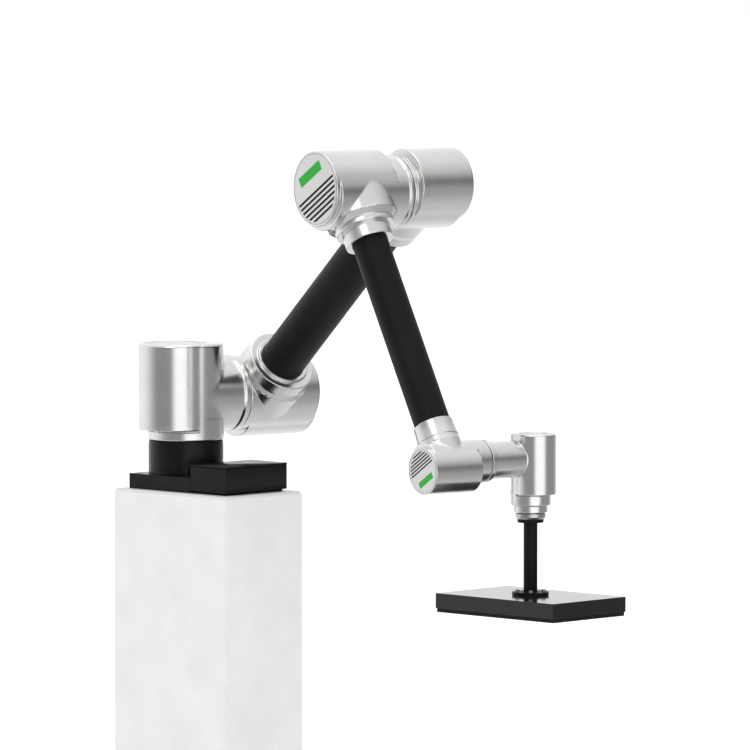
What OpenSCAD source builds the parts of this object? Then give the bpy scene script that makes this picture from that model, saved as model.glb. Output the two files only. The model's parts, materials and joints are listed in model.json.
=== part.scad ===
// Five-axis palletising robot arm with a flat vacuum gripper.
// Origin: where the first joint's axis meets the underside of the base. +Z is up,
// +X runs along the base plate towards its terminal box, +Y runs across the plate.
//
// The arm is a chain: base, shoulder (J1, upright axis), upper arm (J2), forearm (J3),
// wrist (J4) and tool (J5, upright axis). J2, J3 and J4 are parallel and level.
// Every joint has the same build: a strain wave gear, a hollow motor and a brake.

/* [Base] */
// Length of the base plate
plate_l = 358; // [340:1:380]
// Width of the base plate and of the terminal box
plate_w = 220; // [210:1:240]
// Thickness of the base plate
plate_t = 39; // [30:1:44]
// Distance from the first axis to the plate's short end
plate_back = 98; // [96:1:104]
// Length of the terminal box
box_l = 132; // [120:1:140]
// Height of the terminal box's top
box_top = 74; // [68:1:78]
// Radius of the base column
column_r = 97; // [94:0.5:98]
// Height of the first joint's parting plane
j1_z = 126; // [120:1:132]

/* [Arm] */
// Turn of the arm on its base in the drawn pose
arm_yaw = -9.3; // [-12:0.1:-6]
// Height of the second joint's axis
j2_z = 239; // [234:1:244]
// Length of the upper arm, second axis to third
upper_len = 857; // [840:1:880]
// Lean of the upper arm from upright
upper_lean = 50.3; // [48:0.1:52]
// Length of the forearm, third axis to fourth
fore_len = 764; // [750:1:780]
// Lean of the forearm from straight down
fore_lean = 30.9; // [29:0.1:33]
// Radius of the upper arm's tube
upper_tube_r = 59; // [56:0.5:60]
// Radius of the forearm's tube
fore_tube_r = 46; // [44:0.5:47]
// Side step of the upper tube from the first axis
upper_side = 232; // [228:1:236]
// Side step of the forearm tube from the first axis
fore_side = 54; // [50:1:58]
// Side step of the fifth axis from the first axis
tool_side = 318; // [314:1:322]

/* [Housings] */
// Wall of the large castings
wall = 6; // [5:0.5:7]
// Wall of the small castings
small_wall = 4; // [3.5:0.5:4.5]
// Gap between two links at a joint
part_gap = 3; // [2.5:0.5:4]

/* [Gripper] */
// Length of the vacuum plate
grip_l = 406; // [360:2:420]
// Width of the vacuum plate
grip_w = 266; // [240:2:280]
// Height of the vacuum body above its foam
grip_body_t = 38; // [32:1:40]
// Thickness of the foam pad
foam_t = 10; // [8:1:14]
// Length of the post
post_len = 175; // [165:1:185]
// Diameter of the post
post_d = 35; // [30:1:38]

/* [Hidden] */
$fn = 96;
slack = 0.3;
// Where each joint's two links part, along the level axes or upright from the base
j2_side = 140;
j3_side = 179;
j4_side = 160;
j5_z = -6;
elbow_z = j2_z + upper_len * cos(upper_lean);
elbow_reach = upper_len * sin(upper_lean);
wrist_z = elbow_z - fore_len * cos(fore_lean);
wrist_reach = elbow_reach + fore_len * sin(fore_lean);

// A housing: [body r, barrel r, barrel offset, barrel start, end, edge round, cap r, wall,
// how far the body's top is below the barrel's]
H1 = [98, 95, 34, 28, 251, 9, 77, wall, 1];
H2 = [97, 95, 32, 28, 234, 8, 79, wall, 12];
H3 = [92, 95, 17, 51, 237, 3, 89, wall, 12];
HUB = [95, 92.5, 27, 12, 175, 8, 77, wall, 12];
H4 = [55, 59.5, 17.5, 41, 186, 2.5, 54.5, small_wall, 12];
H5 = [51, 52, 20, 48, 200, 5, 40, small_wall, 1];
// A drive: [gear r, motor r, motor start, motor end]
D1 = [86, 54, 52, 112];
D2 = [86, 54, 52, 112];
D3 = [82, 52, 56, 112];
D4 = [47, 33, 36, 84];
D5 = [41, 31, 34, 84];
brake_t = 16;
// Radii inside a drive, as shares of its gear r: output flange, its hub, flex cup, teeth, shaft
flange_share = 0.86;
hub_share = 0.6;
cup_share = 0.69;
teeth_share = 0.72;
shaft_share = 0.24;
gear_in = 6;
hub_t = 14;
// A bracket: [tube side along the joint, stem r, stem end, flange r, flange end,
// collar r, collar end, tube r]
B2 = [upper_side - j2_side, 96.5, 102, 90, 134, 70, 142, upper_tube_r];
BHUB = [upper_side - j3_side, 86, 99, 84, 124, 70, 134, upper_tube_r];
B3 = [j3_side - fore_side, 91, 94, 76, 107, 62, 142, fore_tube_r];
B4 = [j4_side - fore_side, 54, 62, 52, 66, 51, 107, fore_tube_r];
stem_taper = 14;
tube_wall = 5;
socket = 34;
tool_flange_z = -21;
adapter_t = 9;
post_top = tool_flange_z - adapter_t;
post_end = post_top - post_len;
foot_t = 8;
body_top = post_end - foot_t;
body_end = body_top - grip_body_t;
bolt_pcd = 170;
bolt_r = 5.5;
plug_turn = -45;
plug_z = 66;
label_t = 1.2;
// The label's place and size, in cap radii
label_x = -0.62;
label_h = 0.29;
label_w = 1.14;

// ---- Frames ----

// The arm's own frame: +X in its reach direction, +Y along the level axes
module arm() { rotate([0, 0, arm_yaw]) children(); }

// The upper arm: origin on the second axis, +Z along the tube
module upper() { arm() translate([0, 0, j2_z]) rotate([0, upper_lean, 0]) children(); }

// The forearm: origin on the third axis, +Z along the tube
module fore() {
  arm() translate([elbow_reach, 0, elbow_z]) rotate([0, 180 - fore_lean, 0]) children();
}

// The tool: origin where the fifth axis meets the base's level, sides square to the base
module tool() {
  arm() translate([wrist_reach, tool_side, 0]) rotate([0, 0, -arm_yaw]) children();
}

// Each joint's frame: origin where the two links part, +Z into the motor's housing,
// +X away from the side that the barrel is offset to
module at_j1() { arm() translate([0, 0, j1_z]) rotate([0, 0, 90]) children(); }
module at_j2() { upper() translate([0, j2_side, 0]) rotate([-90, -90, 0]) children(); }
module at_hub() {
  upper() translate([0, j3_side, upper_len]) rotate([-90, 90, 0]) children();
}
module at_j3() { fore() translate([0, j3_side, 0]) rotate([90, -90, 0]) children(); }
module at_j4() { fore() translate([0, j4_side, fore_len]) rotate([90, 90, 0]) children(); }
module at_j5() {
  arm() translate([wrist_reach, tool_side, j5_z]) rotate([0, 0, 180]) children();
}

// ---- Shapes that repeat ----

// A cylinder from z0 to z1
module rod(r, z0, z1) { translate([0, 0, z0]) cylinder(r = r, h = z1 - z0); }

// A cylinder from z0 to z1 with its top edge rounded
module round_rod(r, z0, z1, edge) {
  translate([0, 0, z0]) rotate_extrude() union() {
    square([r - edge, z1 - z0]);
    square([r, z1 - z0 - edge]);
    translate([r - edge, z1 - z0 - edge]) circle(r = edge);
  }
}

// A tube from z0 to z1
module sleeve(r, bore, z0, z1) {
  difference() {
    rod(r, z0, z1);
    rod(bore, z0 - 1, z1 + 1);
  }
}

// Cones that ease one radius into another
module ease(r0, r1, z0, z1) { translate([0, 0, z0]) cylinder(r1 = r0, r2 = r1, h = z1 - z0); }

// Copies round the Z axis
module ring_of(count, r, start = 0) {
  for (i = [0:count - 1]) rotate([0, 0, start + i * 360 / count]) translate([r, 0, 0]) children();
}

// The outside of a joint housing
module housing_outside(h) {
  rod(h[0], part_gap / 2, h[3] + 1);
  round_rod(h[0], h[3], h[4] - h[8], h[5]);
  translate([-h[2], 0, 0]) round_rod(h[1], h[3], h[4], h[5]);
}

// The hollow of a joint housing, with the gear's seat and the cap's recess
module housing_hollow(h, d) {
  web = gear_end(d) + 8;
  rod(0.74 * d[0], 0, gear_in + 1);
  rod(d[0], gear_in, gear_end(d));
  rod(d[1], gear_end(d) - 1, h[4] - 24);
  difference() {
    union() {
      rod(h[0] - h[7], web, h[4] - h[8] - h[7]);
      translate([-h[2], 0, 0]) rod(h[1] - h[7], max(web, h[3] + h[7]), h[4] - 12);
    }
    rod(d[1] + h[7], web - 1, d[3] + brake_t + 6);
  }
  translate([-h[2], 0, 0]) {
    rod(h[6] - 5, h[4] - 20, h[4] - 4);
    rod(h[6] + slack, h[4] - 5, h[4] + 1);
  }
}
function gear_end(d) = gear_in + 0.34 * d[0];

// The bracket that carries a tube, from the joint axis out along +X
module bracket_outside(b) {
  translate([0, 0, b[0]]) rotate([0, 90, 0]) {
    intersection() {
      union() {
        rod(b[1], 0, b[2] - stem_taper);
        ease(b[1], b[3], b[2] - stem_taper, b[2]);
      }
      translate([b[0] - part_gap / 2 - slack - 400, -200, 0]) cube([400, 400, 400]);
    }
    rod(b[3], b[2] - 0.5, b[4]);
    rod(b[5], b[4] - 0.5, b[6]);
  }
}

// The hollow of a bracket, with the tube's socket
module bracket_hollow(b) {
  translate([0, 0, b[0]]) rotate([0, 90, 0]) {
    rod(b[7] - tube_wall - 4, 0, b[6] + 1);
    rod(b[7], b[6] - socket, b[6] + 1);
  }
}

// ---- Drives, in a joint's frame ----

// Circular spline and crossed roller bearing, one ring fixed in the housing
module drive_gear(d) {
  color("lightsteelblue") difference() {
    rod(d[0], gear_in, gear_end(d) - 2);
    rod(teeth_share * d[0], gear_in - 1, gear_end(d));
    rotate_extrude() translate([teeth_share * d[0], gear_in + 4]) square([3, 3]);
  }
}

// Flex cup and output flange, fixed to the other link
module drive_output(d) {
  color("steelblue") difference() {
    union() {
      rod(flange_share * d[0], -hub_t, -hub_t / 2);
      rod(hub_share * d[0], -hub_t / 2, gear_in);
      sleeve(cup_share * d[0], 0.63 * d[0], gear_in - 1, gear_end(d) - 4);
      rod(cup_share * d[0], gear_in - 1, gear_in + 3);
    }
    rod(0.2 * d[0], -hub_t - 1, gear_in + 4);
  }
}

// Hollow shaft with the wave generator and the magnets
module drive_rotor(d) {
  color("silver") difference() {
    union() {
      rod(shaft_share * d[0], gear_in + 5, d[3] + brake_t + 10);
      rod(hub_share * d[0], gear_in + 7, gear_end(d) - 5);
      rod(d[1] - 15, d[2], d[3]);
      rod(shaft_share * d[0] + 4, d[3] - 1, d[3] + 4);
    }
    rod(0.16 * d[0], gear_in, d[3] + brake_t + 11);
  }
}

// Motor winding in its steel ring
module drive_stator(d) { color("darkorange") sleeve(d[1], d[1] - 14, d[2] - 2, d[3] + 2); }

// Brake with the encoder on its back
module drive_brake(d) {
  color("dimgray") sleeve(d[1], shaft_share * d[0] + 2, d[3] + 6, d[3] + 6 + brake_t);
}

// Lip seal at the parting plane
module drive_seal(h) {
  color("black") sleeve(h[0] - 4, h[0] - 12, slack - part_gap / 2, part_gap / 2);
}

// ---- Base ----

plate_front = plate_l - plate_back;
box_back = plate_front - box_l;
plate_hole_x = plate_back - 20;
plate_hole_y = plate_w / 2 - 18;

module base_plate() {
  color("dimgray") difference() {
    translate([-plate_back, -plate_w / 2, 0]) cube([plate_l - box_l, plate_w, plate_t]);
    rod(52, -1, plate_t + 1);
    for (x = [-1, 1], y = [-1, 1]) translate([x * plate_hole_x, y * plate_hole_y, 0]) {
      rod(bolt_r, -1, plate_t + 1);
      rod(9, plate_t - 12, plate_t + 1);
    }
    ring_of(8, bolt_pcd / 2, 22.5) {
      rod(4.5, -1, plate_t + 1);
      rod(7.5, -1, 12);
    }
  }
}

box_foot = 6;
module terminal_box() {
  color("dimgray") difference() {
    union() {
      translate([box_back, -plate_w / 2, box_foot])
        cube([box_l, plate_w, box_top - box_foot - 5]);
      translate([box_back, -plate_w / 2 + 8, 0]) cube([box_l - 10, plate_w - 16, box_foot + 1]);
    }
    translate([box_back + 8, -plate_w / 2 + 8, box_foot + 6])
      cube([box_l - 16, plate_w - 16, box_top]);
    translate([box_back + box_l / 2, plate_w / 2, box_top / 2]) rotate([-90, 0, 0]) rod(17, -20, 1);
  }
}

module terminal_lid() {
  color("dimgray") {
    translate([box_back, -plate_w / 2, box_top - 5]) cube([box_l, plate_w, 5]);
    translate([box_back + 9, -plate_w / 2 + 9, box_top - 9]) difference() {
      cube([box_l - 18, plate_w - 18, 4.5]);
      translate([4, 4, -1]) cube([box_l - 26, plate_w - 26, 7]);
    }
  }
}

module cable_socket() {
  color("gray") translate([box_back + box_l / 2, plate_w / 2, box_top / 2]) rotate([-90, 0, 0])
    difference() {
      union() {
        rod(17, -8, 0.5);
        rod(22, 0, 3);
        rod(16, 2, 14);
      }
      rod(12, 4, 15);
    }
}

module base_column() {
  color("#202020") difference() {
    union() {
      rod(column_r, plate_t, j1_z - part_gap / 2 - 8);
      ease(column_r, column_r - 1.5, j1_z - part_gap / 2 - 8, j1_z - part_gap / 2);
    }
    rod(52, plate_t - 1, plate_t + 9);
    rod(column_r - 7, plate_t + 8, j1_z - hub_t - 6);
    rod(hub_share * D1[0] + 1, j1_z - hub_t - 10, j1_z + 1);
    translate([0, 0, j1_z]) rod(flange_share * D1[0], -hub_t - 10, -hub_t / 2);
    ring_of(8, bolt_pcd / 2, 22.5) rod(3.4, plate_t - 1, plate_t + 7);
    rotate([0, 0, plug_turn]) translate([0, 0, plug_z]) rotate([0, 90, 0]) rod(10, column_r - 20, column_r + 1);
  }
}

module column_plug() {
  color("black") rotate([0, 0, plug_turn]) translate([0, 0, plug_z]) rotate([0, 90, 0]) difference() {
    rod(10, column_r - 8, column_r - 3.5);
    rod(4, column_r - 6, column_r);
  }
}

module column_screws() {
  color("darkgray") ring_of(8, bolt_pcd / 2, 22.5) {
    rod(6.5, 4, 12);
    rod(3.9, 11.5, plate_t);
    rod(3.3, plate_t - 0.5, plate_t + 6.5);
  }
}

// ---- Shoulder ----

neck_r = 96;
module shoulder_casting() {
  color("gainsboro") difference() {
    union() {
      at_j1() housing_outside(H1);
      arm() translate([0, 0, j2_z]) rotate([-90, 0, 0]) {
        rod(neck_r, 0, j2_side - 26);
        ease(neck_r, 99, j2_side - 26, j2_side - 16);
        rod(99, j2_side - 16, j2_side - part_gap / 2);
      }
    }
    at_j1() housing_hollow(H1, D1);
    arm() translate([0, 0, j2_z]) rotate([-90, 0, 0]) {
      rod(neck_r - wall, D1[1] + wall, j2_side - 24);
      translate([0, 0, j2_side]) {
        rod(hub_share * D2[0] + 1, -hub_t, 0);
        rod(flange_share * D2[0], -30, -hub_t / 2);
      }
    }
  }
}

// A plain lid in the end of a barrel, with its screws' sunk heads
module barrel_cap(h, screws) {
  translate([-h[2], 0, 0]) difference() {
    round_rod(h[6], h[4] - 5, h[4] - 1, 1);
    ring_of(screws, h[6] - 6, 45) rod(2.6, h[4] - 3.5, h[4]);
    rotate_extrude() translate([h[6] - 14, h[4] - 1.8]) square([1.5, 2]);
  }
}

// A lid with cooling slots across its half nearest the tube
module finned_cap(h, slots, pitch) {
  translate([-h[2], 0, 0]) difference() {
    round_rod(h[6], h[4] - 5, h[4] - 0.5, 0.8);
    intersection() {
      for (i = [0:slots - 1]) translate([4 + i * pitch, -h[6], h[4] - 3.5])
        cube([pitch * 0.5, 2 * h[6], 4]);
      rod(h[6] - 5, h[4] - 4, h[4]);
    }
    translate([label_x * h[6], -label_w * h[6] / 2, h[4] - 1.5])
      cube([label_h * h[6], label_w * h[6], 2]);
  }
}

module cap_label(h) {
  translate([-h[2] + label_x * h[6] + slack, -label_w * h[6] / 2 + slack, h[4] - 1.5])
    cube([label_h * h[6] - 2 * slack, label_w * h[6] - 2 * slack, label_t]);
}

module shoulder_lid() { color("gainsboro") at_j1() barrel_cap(H1, 6); }

// ---- Upper arm ----

module upper_shoulder_casting() {
  color("gainsboro") at_j2() difference() {
    union() {
      housing_outside(H2);
      bracket_outside(B2);
    }
    housing_hollow(H2, D2);
    intersection() {
      bracket_hollow(B2);
      translate([D2[1] + wall, -150, 0]) cube([200, 300, 300]);
    }
  }
}

module upper_shoulder_cap() { color("gainsboro") at_j2() barrel_cap(H2, 6); }

module upper_tube() {
  color("#181818") upper() translate([0, upper_side, 0])
    sleeve(upper_tube_r - 0.2, upper_tube_r - tube_wall, B2[6] - socket, upper_len - BHUB[6] + socket);
}

module upper_loom() {
  color("darkslategray") upper() translate([0, upper_side, 0])
    rod(14, B2[2], upper_len - BHUB[2]);
}

module upper_elbow_casting() {
  color("gainsboro") at_hub() difference() {
    union() {
      housing_outside(HUB);
      bracket_outside(BHUB);
    }
    rod(hub_share * D3[0] + 1, 0, 40);
    rod(flange_share * D3[0], hub_t / 2, 40);
    rod(HUB[0] - wall, hub_t + 6, HUB[4] - HUB[8] - wall);
    translate([-HUB[2], 0, 0]) {
      rod(HUB[1] - wall, HUB[3] + wall, HUB[4] - 12);
      rod(HUB[6] - 5, HUB[4] - 20, HUB[4] - 4);
      rod(HUB[6] + slack, HUB[4] - 5, HUB[4] + 1);
    }
    bracket_hollow(BHUB);
  }
}

module upper_elbow_cap() { color("gainsboro") at_hub() barrel_cap(HUB, 6); }

// ---- Forearm ----

module forearm_elbow_casting() {
  color("gainsboro") at_j3() difference() {
    union() {
      housing_outside(H3);
      rod(95, part_gap / 2, 11);
      ease(95, H3[0], 11, 17);
      bracket_outside(B3);
    }
    housing_hollow(H3, D3);
    intersection() {
      bracket_hollow(B3);
      translate([D3[1] + wall, -150, 0]) cube([200, 300, 300]);
    }
  }
}

module forearm_elbow_cap() { color("silver") at_j3() finned_cap(H3, 6, 12.6); }
module forearm_elbow_label() { color("#28aa32") at_j3() cap_label(H3); }

module forearm_tube() {
  color("#181818") fore() translate([0, fore_side, 0])
    sleeve(fore_tube_r - 0.2, fore_tube_r - tube_wall, B3[6] - socket, fore_len - B4[6] + socket);
}

module forearm_loom() {
  color("darkslategray") fore() translate([0, fore_side, 0]) rod(11, B3[2], fore_len - B4[2]);
}

module forearm_wrist_casting() {
  color("gainsboro") at_j4() difference() {
    union() {
      housing_outside(H4);
      bracket_outside(B4);
      translate([0, 0, B4[0]]) rotate([0, 90, 0]) ease(54, 49, B4[2], B4[6]);
    }
    housing_hollow(H4, D4);
    intersection() {
      bracket_hollow(B4);
      translate([D4[1] + small_wall, -150, 0]) cube([200, 300, 300]);
    }
  }
}

module forearm_wrist_cap() { color("silver") at_j4() finned_cap(H4, 6, 7.8); }
module forearm_wrist_label() { color("#28aa32") at_j4() cap_label(H4); }

// ---- Wrist ----

wrist_neck_r = 47;
module wrist_casting() {
  color("gainsboro") difference() {
    union() {
      at_j5() {
        rod(43, part_gap / 2, 19);
        ease(43, H5[0], 18, 22);
        rod(H5[0], 21, H5[3] + 1);
        round_rod(H5[0], H5[3], H5[4] - H5[8], H5[5]);
        translate([-H5[2], 0, 0]) round_rod(H5[1], H5[3], H5[4], H5[5]);
      }
      arm() translate([wrist_reach, j4_side, wrist_z]) rotate([-90, 0, 0]) {
        rod(54, part_gap / 2, 14);
        ease(54, wrist_neck_r, 14, 22);
        rod(wrist_neck_r, 21, tool_side - j4_side);
        ease(wrist_neck_r, 52, 66, 110);
      }
    }
    at_j5() housing_hollow(H5, D5);
    arm() translate([wrist_reach, j4_side, wrist_z]) rotate([-90, 0, 0]) {
      rod(hub_share * D4[0] + 1, 0, 20);
      rod(flange_share * D4[0], hub_t / 2, tool_side - j4_side - H5[0] - 6);
      rod(24, 20, tool_side - j4_side - D5[1] - small_wall);
    }
  }
}

module wrist_lid() { color("gainsboro") at_j5() barrel_cap(H5, 4); }

// ---- Tool ----

module tool_flange() {
  color("silver") at_j5() {
    drive_output(D5);
    difference() {
      union() {
        rod(38, -10, -part_gap / 2);
        ease(35, 38, -15, -10);
      }
      rod(flange_share * D5[0] - 0.02, -hub_t, 0);
    }
  }
}

module tool_adapter() {
  color("#181818") tool() difference() {
    rod(33, post_top, tool_flange_z);
    ring_of(4, 25, 45) rod(3.3, post_top - 1, tool_flange_z + 1);
  }
}

module gripper_post() {
  color("#181818") tool() rod(post_d / 2, post_end, post_top);
}

module post_foot() {
  color("#181818") tool() difference() {
    rod(46, body_top, post_end);
    ring_of(4, 33, 45) rod(3.3, body_top - 1, post_end + 1);
  }
}

vac_hole_pitch = 40;
port_z = body_top - 20;
module vacuum_body() {
  color("#202020") tool() difference() {
    translate([-grip_l / 2, -grip_w / 2, body_end]) cube([grip_l, grip_w, grip_body_t]);
    translate([-grip_l / 2 + 6, -grip_w / 2 + 6, body_end + 6])
      cube([grip_l - 12, grip_w - 12, grip_body_t - 12]);
    for (ix = [-4:4], iy = [-2:2]) translate([ix * vac_hole_pitch, iy * vac_hole_pitch, 0])
      rod(3, body_end - 1, body_end + 7);
    ring_of(4, 33, 45) rod(2.5, body_top - 7, body_top + 1);
    translate([0, grip_w / 2, port_z]) rotate([-90, 0, 0]) rod(6.6, -7, 1);
  }
}

module vacuum_foam() {
  color("#101010") tool() difference() {
    translate([-grip_l / 2 + 3, -grip_w / 2 + 3, body_end - foam_t])
      cube([grip_l - 6, grip_w - 6, foam_t]);
    for (ix = [-4:4], iy = [-2:2]) translate([ix * vac_hole_pitch, iy * vac_hole_pitch, 0])
      rod(8, body_end - foam_t - 1, body_end + 1);
  }
}

module foot_screws() {
  color("gray") tool() ring_of(4, 33, 45) {
    rod(5, post_end, post_end + 6);
    rod(3, body_top, post_end + 0.5);
    rod(2.4, body_top - 6, body_top + 0.5);
  }
}

base_plate();
terminal_box();
terminal_lid();
cable_socket();
base_column();
column_plug();
column_screws();
at_j1() drive_output(D1);  // j1_output
shoulder_casting();
shoulder_lid();
at_j1() drive_seal(H1);  // j1_seal
at_j1() drive_gear(D1);  // j1_gear
at_j1() drive_stator(D1);  // j1_stator
at_j1() drive_brake(D1);  // j1_brake
at_j2() drive_output(D2);  // j2_output
at_j1() drive_rotor(D1);  // j1_rotor
upper_shoulder_casting();
upper_shoulder_cap();
at_j2() drive_seal(H2);  // j2_seal
at_j2() drive_gear(D2);  // j2_gear
at_j2() drive_stator(D2);  // j2_stator
at_j2() drive_brake(D2);  // j2_brake
upper_tube();
upper_loom();
upper_elbow_casting();
upper_elbow_cap();
at_j3() drive_output(D3);  // j3_output
at_j2() drive_rotor(D2);  // j2_rotor
forearm_elbow_casting();
forearm_elbow_cap();
forearm_elbow_label();
at_j3() drive_seal(H3);  // j3_seal
at_j3() drive_gear(D3);  // j3_gear
at_j3() drive_stator(D3);  // j3_stator
at_j3() drive_brake(D3);  // j3_brake
forearm_tube();
forearm_loom();
forearm_wrist_casting();
forearm_wrist_cap();
forearm_wrist_label();
at_j4() drive_seal(H4);  // j4_seal
at_j4() drive_gear(D4);  // j4_gear
at_j4() drive_stator(D4);  // j4_stator
at_j4() drive_brake(D4);  // j4_brake
at_j3() drive_rotor(D3);  // j3_rotor
at_j4() drive_rotor(D4);  // j4_rotor
wrist_casting();
wrist_lid();
at_j4() drive_output(D4);  // j4_output
at_j5() drive_gear(D5);  // j5_gear
at_j5() drive_stator(D5);  // j5_stator
at_j5() drive_brake(D5);  // j5_brake
at_j5() drive_rotor(D5);  // j5_rotor
tool_flange();
tool_adapter();
gripper_post();
post_foot();
vacuum_body();
vacuum_foam();
foot_screws();
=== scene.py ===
import json
import math

import bmesh
import bpy
import numpy as np
from mathutils import Matrix, Vector


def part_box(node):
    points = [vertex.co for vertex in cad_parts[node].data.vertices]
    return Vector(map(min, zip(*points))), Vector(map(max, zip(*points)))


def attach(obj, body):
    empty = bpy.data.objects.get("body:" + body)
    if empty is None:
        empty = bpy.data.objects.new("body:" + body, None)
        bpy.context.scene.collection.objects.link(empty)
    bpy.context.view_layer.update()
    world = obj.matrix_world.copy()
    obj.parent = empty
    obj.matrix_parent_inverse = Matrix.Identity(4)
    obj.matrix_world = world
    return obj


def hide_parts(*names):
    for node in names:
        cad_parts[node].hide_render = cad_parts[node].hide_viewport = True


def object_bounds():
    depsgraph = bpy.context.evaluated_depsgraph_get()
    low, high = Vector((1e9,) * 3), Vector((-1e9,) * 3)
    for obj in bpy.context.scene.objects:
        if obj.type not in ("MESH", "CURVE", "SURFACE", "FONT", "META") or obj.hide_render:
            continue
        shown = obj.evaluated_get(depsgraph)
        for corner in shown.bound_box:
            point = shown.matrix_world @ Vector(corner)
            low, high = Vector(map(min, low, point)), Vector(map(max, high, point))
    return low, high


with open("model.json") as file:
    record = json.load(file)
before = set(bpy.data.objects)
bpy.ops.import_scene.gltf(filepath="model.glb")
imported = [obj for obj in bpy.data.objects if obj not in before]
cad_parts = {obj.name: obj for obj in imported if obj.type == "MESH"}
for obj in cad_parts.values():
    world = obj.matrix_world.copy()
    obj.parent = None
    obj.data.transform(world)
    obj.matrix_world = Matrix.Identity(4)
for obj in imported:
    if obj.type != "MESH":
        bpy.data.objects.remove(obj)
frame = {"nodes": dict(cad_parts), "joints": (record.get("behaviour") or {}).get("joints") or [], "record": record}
cad_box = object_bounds()
MM = 0.001

# ---------------------------------------------------------------- driving sizes, mm

# A housing: radii of its body and barrel, how far the barrel sits to -X, where the barrel
# starts and ends, round of its edges, radius of its cap, and how much the body is shorter
HOUSING = {
    "j1": dict(body=98, barrel=95, off=34, start=28, end=251, edge=9, cap=77, step=1),
    "j2": dict(body=97, barrel=95, off=32, start=28, end=234, edge=8, cap=79, step=12),
    "hub": dict(body=95, barrel=92.5, off=27, start=12, end=175, edge=8, cap=77, step=12),
    "j3": dict(body=92, barrel=95, off=17, start=51, end=237, edge=3, cap=89, step=12),
    "j4": dict(body=55, barrel=59.5, off=17.5, start=41, end=186, edge=2.5, cap=54.5, step=12),
    "j5": dict(body=51, barrel=52, off=20, start=48, end=200, edge=5, cap=40, step=1),
}
# A bracket: where its tube lies along the joint's axis, radius and end of the stem, radius
# and end (shelf) of the flange, radius and end of the collar, radius of the tube
BRACKET = {
    "j2": dict(side=92, radius=96.5, stem=102, flange=90, shelf=134, collar=70, end=142, tube=59),
    "hub": dict(side=53, radius=86, stem=99, flange=84, shelf=124, collar=70, end=134, tube=59),
    "j3": dict(side=125, radius=91, stem=94, flange=76, shelf=107, collar=62, end=142, tube=46),
    "j4": dict(side=106, radius=54, stem=62, flange=52, shelf=66, collar=51, end=107, tube=46),
}
# Gap between two castings at a joint
PART_GAP = 3
HALF_GAP = PART_GAP / 2
# Length over which a stem narrows to its flange
STEM_TAPER = 14
# How much a stem clears the parting plane
STEM_CLEAR = 0.3
# Shoulder's neck, and the lip at its end
NECK_R = 96
NECK_LIP_R, NECK_LIP = 99, 16
# Forearm's lip at the elbow
ELBOW_LIP_R, ELBOW_LIP_END = 95, 11
# Wrist's neck, its lip, and the ring under its body
WRIST_NECK_R = 47
WRIST_LIP_R, WRIST_LIP_END = 54, 14
WRIST_RING_R, WRIST_RING_END = 43, 19
# The forearm's swelling above the wrist, where it meets the stem and where it ends
SWELL_R0, SWELL_R1 = 54, 49
# Cooling slots of a finned cap: how many, and their pitch
FINS = {"j3": (6, 12.6), "j4": (6, 7.8)}
# The last one is the thickness of the dark sheet of painted shade on each slot's floor
FIN_START, FIN_DEPTH, FIN_EDGE, FIN_SHADE_SHEET = 4, 3.5, 5.2, 0.4
# Grid steps for the skins
COARSE, MIDDLE, FINE = 2.6, 2.2, 1.6
# Free room round a casting in the grid that its skin is made on
MARGIN = 7

# ---------------------------------------------------------------- joint frames

JOINT = {j["name"]: j for j in frame["joints"]}


def point(name):
    return Vector(JOINT[name]["pos_m"])


def across(v, axis):
    """The part of v square to axis, as a unit vector."""
    return (v - axis * v.dot(axis)).normalized()


LEVEL = Vector(JOINT["elbow_pitch"]["axis"]).normalized()
UP = Vector((0, 0, 1))
UPPER_DIR = across(point("elbow_pitch") - point("shoulder_pitch"), LEVEL)
FORE_DIR = across(point("wrist_pitch") - point("elbow_pitch"), LEVEL)


def joint_frame(origin, z, x):
    """A joint's frame: +Z into the housing, +X away from the side the barrel is offset to."""
    y = z.cross(x)
    m = Matrix((x, y, z)).transposed().to_4x4()
    m.translation = origin
    return m


FRAME = {
    "j1": joint_frame(point("base_turn"), UP, LEVEL),
    "j2": joint_frame(point("shoulder_pitch"), LEVEL, UPPER_DIR),
    "hub": joint_frame(point("elbow_pitch"), LEVEL, -UPPER_DIR),
    "j3": joint_frame(point("elbow_pitch"), -LEVEL, FORE_DIR),
    "j4": joint_frame(point("wrist_pitch"), -LEVEL, -FORE_DIR),
    "j5": joint_frame(point("tool_turn"), UP, UP.cross(LEVEL)),
}

# ---------------------------------------------------------------- solid shapes as distances
# Each shape is a function from points (N x 3, mm, in a joint's frame) to the distance
# from its surface, negative inside.


def profile_distance(q, edge):
    """Distance from a profile whose corners are rounded by edge."""
    outside = np.linalg.norm(np.maximum(q, 0), axis=1)
    return outside + np.minimum(q.max(axis=1), 0) - edge


# A cylinder along Z, its centre line moved to x, its edges rounded
def rod(r, z0, z1, edge=1.0, x=0.0):
    def d(p):
        rho = np.hypot(p[:, 0] - x, p[:, 1])
        q = np.stack([rho - r, np.abs(p[:, 2] - (z0 + z1) / 2) - (z1 - z0) / 2], 1) + edge
        return profile_distance(q, edge)
    return d


def cone(r0, r1, z0, z1):
    """A cone from radius r0 at z0 to r1 at z1."""
    slope = (r1 - r0) / (z1 - z0)
    lean = 1 / math.hypot(1, slope)

    def d(p):
        rho = np.hypot(p[:, 0], p[:, 1])
        side = (rho - r0 - slope * (p[:, 2] - z0)) * lean
        return np.maximum(side, np.maximum(z0 - p[:, 2], p[:, 2] - z1))
    return d


def placed(matrix, shape):
    """The shape moved by a matrix, in mm."""
    back = np.array(matrix.inverted())

    def d(p):
        return shape(p @ back[:3, :3].T + back[:3, 3])
    return d


def soft_union(k, *shapes):
    """The shapes joined, with a fillet about k mm wide where they meet."""
    def d(p):
        total = shapes[0](p)
        for s in shapes[1:]:
            other = s(p)
            h = np.maximum(k - np.abs(total - other), 0) / k
            total = np.minimum(total, other) - h * h * k / 4
        return total
    return d


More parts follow.
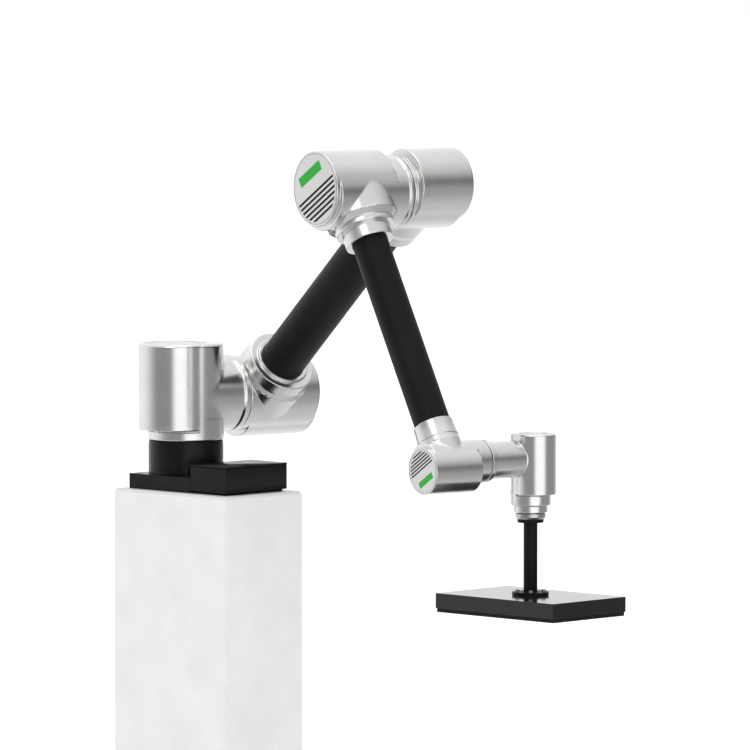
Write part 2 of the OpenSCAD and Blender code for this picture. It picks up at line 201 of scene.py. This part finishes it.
def cut(shape, *hollows, k=1.0):
    """The shape less the hollows, with a small round at the rims."""
    def d(p):
        total = shape(p)
        for s in hollows:
            other = -s(p)
            h = np.maximum(k - np.abs(total - other), 0) / k
            total = np.maximum(total, other) + h * h * k / 4
        return total
    return d


def both(a, b):
    """Only what the two shapes share."""
    def d(p):
        return np.maximum(a(p), b(p))
    return d


# ---------------------------------------------------------------- surface of a distance

def gradient(shape, p, h=0.04):
    """How the distance grows along X, Y and Z."""
    g = np.empty_like(p)
    for i in range(3):
        step = np.zeros(3)
        step[i] = h
        g[:, i] = (shape(p + step) - shape(p - step)) / (2 * h)
    return g


def net(shape, lo, hi, step):
    """Vertices and quads where the distance changes sign on a grid (a surface net)."""
    axes = [np.arange(lo[i] - MARGIN, hi[i] + MARGIN, step) for i in range(3)]
    grid = np.stack(np.meshgrid(*axes, indexing="ij"), -1)
    size = grid.shape[:3]
    flat = grid.reshape(-1, 3)
    d = np.concatenate([shape(part) for part in np.array_split(flat, 1 + len(flat) // 400000)])
    inside = (d < 0).reshape(size)
    count = sum(
        inside[i:size[0] - 1 + i, j:size[1] - 1 + j, k:size[2] - 1 + k].astype(np.int8)
        for i in (0, 1) for j in (0, 1) for k in (0, 1)
    )
    mixed = (count > 0) & (count < 8)
    number = np.full(mixed.shape, -1)
    number[mixed] = np.arange(mixed.sum())
    verts = grid[:-1, :-1, :-1][mixed] + step / 2
    quads = []
    for a in range(3):
        b, c = (a + 1) % 3, (a + 2) % 3
        here = np.take(inside, range(0, size[a] - 1), a)
        there = np.take(inside, range(1, size[a]), a)
        for starts, flip in ((here & ~there, False), (~here & there, True)):
            at = np.argwhere(starts)
            at = at[(at[:, b] > 0) & (at[:, c] > 0)]
            corner = []
            for db, dc in ((0, 0), (-1, 0), (-1, -1), (0, -1)):
                q = at.copy()
                q[:, b] += db
                q[:, c] += dc
                corner.append(number[q[:, 0], q[:, 1], q[:, 2]])
            quad = np.stack(corner, 1)
            quads.append(quad[:, ::-1] if flip else quad)
    return verts, np.concatenate(quads)


def settle(shape, verts, quads, step, rounds=4):
    """Moves the vertices onto the surface, evening them out along it."""
    def onto(p, times):
        for _ in range(times):
            g = gradient(shape, p)
            length = np.maximum((g * g).sum(1), 0.05)
            move = -(shape(p) / length)[:, None] * g
            far = np.maximum(np.linalg.norm(move, axis=1) / step, 1)
            p = p + move / far[:, None]
        return p
    verts = onto(verts, 3)
    edges = np.concatenate([quads[:, [i, (i + 1) % 4]] for i in range(4)])
    for _ in range(rounds):
        total = np.zeros_like(verts)
        tally = np.zeros(len(verts))
        for a, b in ((0, 1), (1, 0)):
            np.add.at(total, edges[:, a], verts[edges[:, b]])
            np.add.at(tally, edges[:, a], 1)
        middle = total / np.maximum(tally, 1)[:, None]
        verts = onto(verts + 0.5 * (middle - verts), 2)
    return verts


def add_object(name, mesh):
    o = bpy.data.objects.new(name, mesh)
    bpy.context.scene.collection.objects.link(o)
    return o


def object_of(name, verts, faces, normals):
    mesh = bpy.data.meshes.new(name)
    mesh.vertices.add(len(verts))
    mesh.vertices.foreach_set("co", np.asarray(verts, np.float32).ravel())
    mesh.loops.add(faces.size)
    mesh.loops.foreach_set("vertex_index", faces.ravel().astype(np.int32))
    mesh.polygons.add(len(faces))
    mesh.polygons.foreach_set("loop_start", np.arange(0, faces.size, 4, dtype=np.int32))
    mesh.update(calc_edges=True)
    mesh.polygons.foreach_set("use_smooth", np.ones(len(faces), bool))
    mesh.normals_split_custom_set_from_vertices(normals.tolist())
    mesh.validate()
    return add_object(name, mesh)


def cast(name, body, key, shape, lo, hi, step, node):
    """A casting's skin from its distance function in joint frame key, riding on body."""
    verts, quads = net(shape, lo, hi, step)
    verts = settle(shape, verts, quads, step)
    normals = gradient(shape, verts)
    normals /= np.maximum(np.linalg.norm(normals, axis=1), 1e-9)[:, None]
    m = np.array(FRAME[key])
    world = verts * MM @ m[:3, :3].T + m[:3, 3]
    o = object_of(name, world, quads, normals @ m[:3, :3].T)
    o.data.materials.append(MATERIAL["silver_casting"])
    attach(o, body)
    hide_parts(node)


# ---------------------------------------------------------------- materials

def new_material(name):
    m = bpy.data.materials.new(name)
    m.use_nodes = True
    nodes = m.node_tree.nodes
    nodes.clear()
    out = nodes.new("ShaderNodeOutputMaterial")
    shader = nodes.new("ShaderNodeBsdfPrincipled")
    m.node_tree.links.new(shader.outputs["BSDF"], out.inputs["Surface"])
    return m, shader


def noise(m, scale, detail=4.0, rough=0.55, stretch=(1, 1, 1)):
    """Noise in the object's own space, in cycles per metre."""
    tree = m.node_tree
    where = tree.nodes.new("ShaderNodeTexCoord")
    fit = tree.nodes.new("ShaderNodeMapping")
    fit.inputs["Scale"].default_value = stretch
    n = tree.nodes.new("ShaderNodeTexNoise")
    n.inputs["Scale"].default_value = scale
    n.inputs["Detail"].default_value = detail
    n.inputs["Roughness"].default_value = rough
    tree.links.new(where.outputs["Object"], fit.inputs["Vector"])
    tree.links.new(fit.outputs["Vector"], n.inputs["Vector"])
    return n.outputs["Fac"]


def spread(m, fac, low, high, start=0.3, end=0.7):
    """Maps a 0..1 value to low..high."""
    n = m.node_tree.nodes.new("ShaderNodeMapRange")
    n.inputs["From Min"].default_value = start
    n.inputs["From Max"].default_value = end
    n.inputs["To Min"].default_value = low
    n.inputs["To Max"].default_value = high
    m.node_tree.links.new(fac, n.inputs["Value"])
    return n.outputs["Result"]


def tint(m, fac, dark, light):
    """A colour between dark and light."""
    n = m.node_tree.nodes.new("ShaderNodeMix")
    n.data_type = "RGBA"
    n.inputs["A"].default_value = (*dark, 1)
    n.inputs["B"].default_value = (*light, 1)
    m.node_tree.links.new(fac, n.inputs["Factor"])
    return n.outputs["Result"]


def bump(m, shader, height, depth):
    """A grain as deep as depth, in metres."""
    n = m.node_tree.nodes.new("ShaderNodeBump")
    n.inputs["Strength"].default_value = 1.0
    n.inputs["Distance"].default_value = depth
    m.node_tree.links.new(height, n.inputs["Height"])
    m.node_tree.links.new(n.outputs["Normal"], shader.inputs["Normal"])


def finish_of(name, dark, light, rough, grain, depth, metal=0.0, cloud=9.0, stretch=(1, 1, 1),
              coat=0.0, specular=0.5):
    """A surface with clouded colour, uneven roughness and a fine grain."""
    m, s = new_material(name)
    link = m.node_tree.links.new
    s.inputs["Metallic"].default_value = metal
    s.inputs["Specular IOR Level"].default_value = specular
    s.inputs["Coat Weight"].default_value = coat
    s.inputs["Coat Roughness"].default_value = 0.18
    link(tint(m, spread(m, noise(m, cloud, 5), 0, 1), dark, light), s.inputs["Base Color"])
    link(spread(m, noise(m, cloud * 3.1, 6, 0.6), rough[0], rough[1]), s.inputs["Roughness"])
    bump(m, s, noise(m, grain, 3, 0.6, stretch), depth)
    return m


MATERIAL = {
    "silver_casting": finish_of("silver_casting", (0.72, 0.72, 0.71), (0.76, 0.76, 0.75),
                                (0.21, 0.26), 900, 0.000012, metal=1.0),
    "silver_cap": finish_of("silver_cap", (0.66, 0.66, 0.65), (0.71, 0.71, 0.70),
                            (0.30, 0.36), 1200, 0.000012, metal=1.0),
    "black_tube": finish_of("black_tube", (0.0075, 0.0075, 0.007), (0.010, 0.010, 0.0095),
                            (0.42, 0.50), 1500, 0.00002, specular=0.12),
    "black_base": finish_of("black_base", (0.006, 0.006, 0.0055), (0.010, 0.010, 0.0095),
                            (0.20, 0.28), 1100, 0.00001, specular=0.16),
    "gripper_black": finish_of("gripper_black", (0.006, 0.006, 0.0055), (0.009, 0.009, 0.0085),
                               (0.08, 0.13), 900, 0.000004, specular=0.25, coat=0.4),
    "label_green": finish_of("label_green", (0.010, 0.34, 0.020), (0.014, 0.40, 0.028),
                             (0.35, 0.45), 1400, 0.00002, specular=0.3),
    "seal_rubber": finish_of("seal_rubber", (0.010, 0.010, 0.010), (0.02, 0.02, 0.02),
                             (0.6, 0.75), 1500, 0.0001, specular=0.3),
    "bearing_steel": finish_of("bearing_steel", (0.50, 0.51, 0.52), (0.58, 0.59, 0.60),
                               (0.24, 0.34), 1600, 0.00001, metal=1.0),
    "winding": finish_of("winding", (0.55, 0.22, 0.06), (0.7, 0.32, 0.1),
                         (0.3, 0.45), 700, 0.0003, metal=0.9, stretch=(1, 1, 6)),
    "brake_black": finish_of("brake_black", (0.03, 0.03, 0.032), (0.05, 0.05, 0.055),
                             (0.4, 0.55), 1200, 0.00008),
    "zinc_screw": finish_of("zinc_screw", (0.35, 0.36, 0.37), (0.48, 0.49, 0.5),
                            (0.28, 0.4), 2200, 0.00001, metal=1.0),
    "socket_metal": finish_of("socket_metal", (0.45, 0.46, 0.47), (0.6, 0.61, 0.62),
                              (0.15, 0.3), 1800, 0.00001, metal=1.0),
    "loom_jacket": finish_of("loom_jacket", (0.02, 0.02, 0.024), (0.04, 0.04, 0.045),
                             (0.45, 0.6), 800, 0.0002),
    "foam_black": finish_of("foam_black", (0.008, 0.008, 0.008), (0.016, 0.016, 0.016),
                            (0.75, 0.9), 1600, 0.0004, specular=0.2),
}


def dress_cad_nodes():
    """Each CAD node gets its slot's material."""
    for part in frame["record"]["subparts"]:
        o = frame["nodes"][part["node"]]
        o.data.materials.clear()
        o.data.materials.append(MATERIAL[part["material_slot"]])


# ---------------------------------------------------------------- castings

def turned_to_tube(side):
    """A frame whose Z axis is the tube's, inside a joint's frame."""
    return Matrix.Translation((0, 0, side)) @ Matrix.Rotation(math.pi / 2, 4, "Y")


def housing(h, foot=2.0):
    """A body and its barrel, filleted together."""
    body = rod(h["body"], HALF_GAP, h["end"] - h["step"], h["edge"])
    base = rod(h["body"], HALF_GAP, h["start"] + 30, foot)
    barrel = rod(h["barrel"], h["start"], h["end"], h["edge"], x=-h["off"])
    barrel_foot = rod(h["barrel"], h["start"], h["start"] + 60, foot, x=-h["off"])
    return soft_union(2.5, soft_union(0.5, body, base), soft_union(0.5, barrel, barrel_foot))


def overhang_groove(h, tall=5.0, deep=4.0):
    """A dark groove round the body, only where the barrel hangs over it."""
    ring = cut(rod(h["body"] + 40, h["start"] - tall, h["start"], 0.2),
               rod(h["body"] - deep, -1, h["start"] + 60, 0.2), k=0.1)
    return both(ring, rod(h["barrel"], -5, h["start"] + 60, 0.2, x=-h["off"]))


def cap_recess(h):
    return rod(h["cap"] + 0.3, h["end"] - 5, h["end"] + 20, 0.2, x=-h["off"])


def bracket(b):
    """Round stem, flange and collar that carry a tube."""
    start = b["stem"] - STEM_TAPER
    stem = soft_union(1.0, rod(b["radius"], 0, start, 0.5),
                      both(cone(b["radius"], b["flange"], start, b["stem"]),
                           rod(b["radius"], 0, b["stem"], 0.5)))
    stem = both(stem, lambda p: p[:, 0] - b["side"] + HALF_GAP + STEM_CLEAR)
    flange = rod(b["flange"], b["stem"] - 1, b["shelf"], 2.5)
    collar = rod(b["collar"], b["stem"], b["end"], 1.5)
    return placed(turned_to_tube(b["side"]), soft_union(2.0, stem, flange, collar))


def tube_socket(b, depth=34):
    return placed(turned_to_tube(b["side"]), rod(b["tube"], b["end"] - depth, b["end"] + 30, 0.3))


def spread_of(h, b=None, low=None):
    """A box round a housing and its bracket."""
    reach = max(h["body"], h["barrel"] + h["off"])
    lo = [-reach, -h["body"], 0]
    hi = [h["body"], h["body"], h["end"]]
    if b:
        lo[2] = min(lo[2], b["side"] - b["flange"])
        hi[2] = max(hi[2], b["side"] + b["radius"])
        hi[0] = b["end"]
        lo[1], hi[1] = min(lo[1], -b["flange"]), max(hi[1], b["flange"])
    return lo, hi


def shoulder_casting():
    h = HOUSING["j1"]
    side = point("shoulder_pitch") - point("base_turn")
    reach, up = side.dot(LEVEL) / MM, side.dot(UP) / MM
    level = Matrix.Translation((0, 0, up)) @ Matrix.Rotation(math.pi / 2, 4, "Y")
    neck = rod(NECK_R, 0, reach - HALF_GAP - 1, 2)
    lip = rod(NECK_LIP_R, reach - NECK_LIP, reach - HALF_GAP, 2)
    shape = cut(
        soft_union(4.0, housing(h), placed(level, soft_union(9.0, neck, lip))),
        cap_recess(h), overhang_groove(h))
    lo, hi = spread_of(h)
    hi[0], lo[1], hi[1] = reach, -NECK_LIP_R - 1, NECK_LIP_R + 1
    cast("shoulder_cast", "shoulder", "j1", shape, lo, hi, COARSE, "shoulder_casting")


def upper_shoulder_casting():
    h, b = HOUSING["j2"], BRACKET["j2"]
    shape = cut(soft_union(1.2, housing(h), bracket(b)), cap_recess(h), tube_socket(b),
                overhang_groove(h))
    cast("upper_shoulder_cast", "upper_arm", "j2", shape, *spread_of(h, b), COARSE,
         "upper_shoulder_casting")


def upper_elbow_casting():
    h, b = HOUSING["hub"], BRACKET["hub"]
    shape = cut(soft_union(1.2, housing(h), bracket(b)), cap_recess(h), tube_socket(b))
    cast("upper_elbow_cast", "upper_arm", "hub", shape, *spread_of(h, b), COARSE,
         "upper_elbow_casting")


def forearm_elbow_casting():
    h, b = HOUSING["j3"], BRACKET["j3"]
    lip = rod(ELBOW_LIP_R, HALF_GAP, ELBOW_LIP_END, 2)
    shape = cut(soft_union(1.2, soft_union(6.0, housing(h), lip), bracket(b)),
                cap_recess(h), tube_socket(b), overhang_groove(h))
    cast("forearm_elbow_cast", "forearm", "j3", shape, *spread_of(h, b), MIDDLE,
         "forearm_elbow_casting")


def forearm_wrist_casting():
    h, b = HOUSING["j4"], BRACKET["j4"]
    swell = placed(turned_to_tube(b["side"]), cone(SWELL_R0, SWELL_R1, b["stem"], b["end"]))
    shape = cut(soft_union(2.5, housing(h), soft_union(1.5, bracket(b), swell)),
                cap_recess(h), tube_socket(b), overhang_groove(h, 3.5, 3.0))
    cast("forearm_wrist_cast", "forearm", "j4", shape, *spread_of(h, b), FINE,
         "forearm_wrist_casting")


def wrist_casting():
    h = HOUSING["j5"]
    side = point("wrist_pitch") - point("tool_turn")
    reach, up = -side.dot(LEVEL) / MM, side.dot(UP) / MM
    rings = soft_union(1.0, rod(WRIST_RING_R, HALF_GAP, WRIST_RING_END, 1.5),
                       rod(h["body"], WRIST_RING_END + 1, h["start"] + 8, 2))
    body = rod(h["body"], h["start"] - 6, h["end"] - h["step"], h["edge"])
    barrel = soft_union(0.5, rod(h["barrel"], h["start"], h["end"], h["edge"], x=-h["off"]),
                        rod(h["barrel"], h["start"], h["start"] + 40, 1.5, x=-h["off"]))
    level = Matrix.Translation((0, reach, up)) @ Matrix.Rotation(math.pi / 2, 4, "X")
    neck = soft_union(8.0, rod(WRIST_LIP_R, HALF_GAP, WRIST_LIP_END, 1.5),
                      rod(WRIST_NECK_R, 4, reach, 1))
    shape = cut(soft_union(3.0, soft_union(2.0, rings, body, barrel), placed(level, neck)),
                cap_recess(h), overhang_groove(h, 3.5, 3.0))
    lo = [-h["barrel"] - h["off"], -WRIST_LIP_R - 2, 0]
    hi = [h["body"], reach, h["end"]]
    cast("wrist_cast", "wrist", "j5", shape, lo, hi, FINE, "wrist_casting")


# ---------------------------------------------------------------- small pieces

def softened(node, body, width, slot):
    """The CAD node's shape with its sharp edges broken."""
    source = frame["nodes"][node]
    bm = bmesh.new()
    bm.from_mesh(source.data)
    bm.transform(source.matrix_world)
    bmesh.ops.remove_doubles(bm, verts=bm.verts, dist=1e-6)
    bmesh.ops.dissolve_limit(bm, angle_limit=math.radians(1), verts=bm.verts, edges=bm.edges)
    sharp = [e for e in bm.edges if len(e.link_faces) == 2 and e.calc_face_angle() > math.radians(60)
             and e.calc_length() > 12 * width]
    bmesh.ops.bevel(bm, geom=sharp, offset=width, segments=2, affect="EDGES", clamp_overlap=True)
    mesh = bpy.data.meshes.new(node + "_soft")
    bm.to_mesh(mesh)
    bm.free()
    mesh.shade_smooth()
    mesh.set_sharp_from_angle(angle=math.radians(35))
    mesh.materials.append(MATERIAL[slot])
    o = add_object(node + "_soft", mesh)
    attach(o, body)
    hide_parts(node)


def painted_slot_shade(name, body, key):
    """Painted shade: thin dark sheets laid on the floors of a finned cap's cooling slots, standing in for the
    shade in them.
    """
    h = HOUSING[key]
    count, pitch = FINS[key]
    bm = bmesh.new()
    floor = h["end"] - FIN_DEPTH
    reach = h["cap"] - FIN_EDGE
    for i in range(count):
        x0, x1 = FIN_START + i * pitch, FIN_START + (i + 0.5) * pitch
        half = [math.sqrt(max(reach ** 2 - x ** 2, 1.0)) for x in (x0, x1)]
        ring = [(x0, -half[0]), (x1, -half[1]), (x1, half[1]), (x0, half[0])]
        low = [bm.verts.new((x - h["off"], y, floor + 0.02)) for x, y in ring]
        high = [bm.verts.new((x - h["off"], y, floor + FIN_SHADE_SHEET)) for x, y in ring]
        bm.faces.new(reversed(low))
        bm.faces.new(high)
        for a in range(4):
            b = (a + 1) % 4
            bm.faces.new((low[a], low[b], high[b], high[a]))
    bmesh.ops.transform(bm, matrix=Matrix.Scale(MM, 4), verts=bm.verts)
    bm.transform(FRAME[key])
    mesh = bpy.data.meshes.new(name)
    bm.to_mesh(mesh)
    bm.free()
    # The dark seal material here is painted shade in the slots
    mesh.materials.append(MATERIAL["seal_rubber"])
    o = add_object(name, mesh)
    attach(o, body)


# ---------------------------------------------------------------- camera, light, floor

# The camera's place, in metres: far off, so that the perspective is weak
CAM_PLACE = (14.909, -14.507, 1.787)
# Share of the picture's width that the arm's box, seen corner to corner, would fill
CAM_FILL = 1.0
# Sensor width, in mm
SENSOR = 36.0


def make_camera():
    data = bpy.data.cameras.new("camera")
    cam = add_object("camera", data)
    cam.location = CAM_PLACE
    lo, hi = cad_box
    middle = (lo + hi) / 2
    look = middle - cam.location
    cam.rotation_mode = "QUATERNION"
    cam.rotation_quaternion = look.to_track_quat("-Z", "Y")
    data.sensor_width = SENSOR
    reach = (hi - lo).length / 2
    data.lens = SENSOR * CAM_FILL * look.length / (2 * reach)
    data.clip_start, data.clip_end = 0.5, 200
    bpy.context.scene.camera = cam


def area_light(name, place, aim, size, power):
    data = bpy.data.lights.new(name, "AREA")
    data.shape = "RECTANGLE"
    data.size, data.size_y = size
    data.energy = power
    o = add_object(name, data)
    o.location = place
    o.rotation_mode = "QUATERNION"
    o.rotation_quaternion = (Vector(aim) - Vector(place)).to_track_quat("-Z", "Y")


# What the arm reflects. Brightness by height: (sine of the height angle, brightness)
STUDIO = [(-1.0, 0.60), (-0.87, 0.72), (-0.70, 0.66), (-0.50, 0.50), (-0.34, 0.42), (-0.17, 0.40),
          (0.0, 0.27), (0.14, 0.17), (0.26, 0.24), (0.42, 0.50), (0.64, 0.74), (0.87, 0.95),
          (1.0, 1.25)]
# Turned from the camera's side: the white wall behind, and a soft box in front
WALL_TURN, WALL_LIGHT = -150, 1.10
BOX_TURN, BOX_LIGHT = 24, 1.05


def turned_from_camera(degrees):
    """A level direction, turned anticlockwise from the direction towards the camera."""
    level = Vector((CAM_PLACE[0], CAM_PLACE[1], 0)).normalized()
    return Matrix.Rotation(math.radians(degrees), 3, "Z") @ level


def make_world():
    """White to the camera. In reflections, a studio with a white wall and one soft box."""
    world = bpy.data.worlds.new("studio")
    bpy.context.scene.world = world
    world.use_nodes = True
    tree = world.node_tree
    tree.nodes.clear()
    new, link = tree.nodes.new, tree.links.new
    where = new("ShaderNodeTexCoord").outputs["Generated"]

    def share(direction, start, end):
        dot = new("ShaderNodeVectorMath")
        dot.operation = "DOT_PRODUCT"
        dot.inputs[1].default_value = direction
        link(where, dot.inputs[0])
        step = new("ShaderNodeMapRange")
        step.interpolation_type = "SMOOTHSTEP"
        step.inputs["From Min"].default_value = start
        step.inputs["From Max"].default_value = end
        link(dot.outputs["Value"], step.inputs["Value"])
        return step.outputs["Result"]

    part = new("ShaderNodeSeparateXYZ")
    link(where, part.inputs["Vector"])
    height = new("ShaderNodeMapRange")
    height.inputs["From Min"].default_value = -1.0
    link(part.outputs["Z"], height.inputs["Value"])
    ramp = new("ShaderNodeValToRGB")
    stops = ramp.color_ramp.elements
    while len(stops) < len(STUDIO):
        stops.new(0.5)
    for stop, (sine, grey) in zip(stops, STUDIO):
        stop.position = (sine + 1) / 2
        stop.color = [min(grey / WALL_LIGHT, 1.0)] * 3 + [1]
    link(height.outputs["Result"], ramp.inputs["Fac"])
    wall = new("ShaderNodeMix")
    wall.data_type = "RGBA"
    wall.inputs["B"].default_value = (1, 1, 1, 1)
    link(share(turned_from_camera(WALL_TURN), -0.1, 0.9), wall.inputs["Factor"])
    link(ramp.outputs["Color"], wall.inputs["A"])
    box = new("ShaderNodeMath")
    box.operation = "MULTIPLY"
    box.inputs[1].default_value = BOX_LIGHT / WALL_LIGHT
    link(share(turned_from_camera(BOX_TURN), 0.80, 0.93), box.inputs[0])
    total = new("ShaderNodeVectorMath")
    total.operation = "ADD"
    link(wall.outputs["Result"], total.inputs[0])
    link(box.outputs["Value"], total.inputs[1])
    glow = new("ShaderNodeBackground")
    glow.inputs["Strength"].default_value = WALL_LIGHT
    link(total.outputs["Vector"], glow.inputs["Color"])
    seen = new("ShaderNodeBackground")
    path = new("ShaderNodeLightPath")
    pick = new("ShaderNodeMixShader")
    out = new("ShaderNodeOutputWorld")
    seen.inputs["Color"].default_value = (1, 1, 1, 1)
    link(path.outputs["Is Camera Ray"], pick.inputs["Fac"])
    link(glow.outputs["Background"], pick.inputs[1])
    link(seen.outputs["Background"], pick.inputs[2])
    link(pick.outputs["Shader"], out.inputs["Surface"])


FLOOR_Z = -1.0
FLOOR_SIZE, FLOOR_GLOW = 120, 0.42
PLINTH_RIM, PLINTH_EDGE = 0.03, 0.006


def make_floor():
    """A wide pale floor that glows a little and isn't seen in reflections."""
    m = finish_of("pale_floor", (0.86, 0.86, 0.86), (0.90, 0.90, 0.90), (0.5, 0.6), 300, 0.00002)
    bpy.ops.mesh.primitive_plane_add(size=FLOOR_SIZE, location=(0, 0, FLOOR_Z))
    floor = bpy.context.object
    floor.name = "floor"
    shader = next(n for n in m.node_tree.nodes if n.type == "BSDF_PRINCIPLED")
    shader.inputs["Emission Color"].default_value = (1, 1, 1, 1)
    shader.inputs["Emission Strength"].default_value = FLOOR_GLOW
    floor.visible_glossy = False
    floor.data.materials.append(m)


def make_plinth():
    """A plain pale block under the base, which stands above the gripper's level."""
    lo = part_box("base_plate")[0]
    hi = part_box("terminal_lid")[1]
    m = finish_of("pale_plinth", (0.80, 0.80, 0.80), (0.86, 0.86, 0.86), (0.35, 0.45), 500, 0.00004)
    mesh = bpy.data.meshes.new("plinth")
    bm = bmesh.new()
    bmesh.ops.create_cube(bm, size=1)
    size = (hi.x - lo.x + 2 * PLINTH_RIM, hi.y - lo.y + 2 * PLINTH_RIM, -FLOOR_Z)
    middle = ((hi.x + lo.x) / 2, (hi.y + lo.y) / 2, FLOOR_Z / 2)
    for v in bm.verts:
        v.co = [c + p * s for c, p, s in zip(middle, v.co, size)]
    bmesh.ops.bevel(bm, geom=bm.edges[:], offset=PLINTH_EDGE, segments=3, affect="EDGES")
    bm.to_mesh(mesh)
    bm.free()
    mesh.materials.append(m)
    add_object("plinth", mesh)


def make_lights():
    area_light("key", (2.5, -5.0, 5.0), (0.5, 0.0, 0.3), (3.0, 3.0), 40)
    area_light("top", (0.5, 0.5, 6.0), (0.5, 0.0, 0.0), (4.0, 4.0), 45)


bpy.context.scene.view_settings.view_transform = "Standard"
make_camera()
make_world()
make_floor()
make_plinth()
make_lights()
dress_cad_nodes()
shoulder_casting()
upper_shoulder_casting()
upper_elbow_casting()
forearm_elbow_casting()
forearm_wrist_casting()
wrist_casting()
# Painted shade on the floors of the finned caps' cooling slots
painted_slot_shade("elbow_slot_shade", "forearm", "j3")
painted_slot_shade("wrist_slot_shade", "forearm", "j4")
softened("base_plate", "base", 0.0012, "black_base")
softened("terminal_box", "base", 0.0012, "black_base")
softened("terminal_lid", "base", 0.0008, "black_base")
softened("vacuum_body", "tool", 0.0010, "gripper_black")
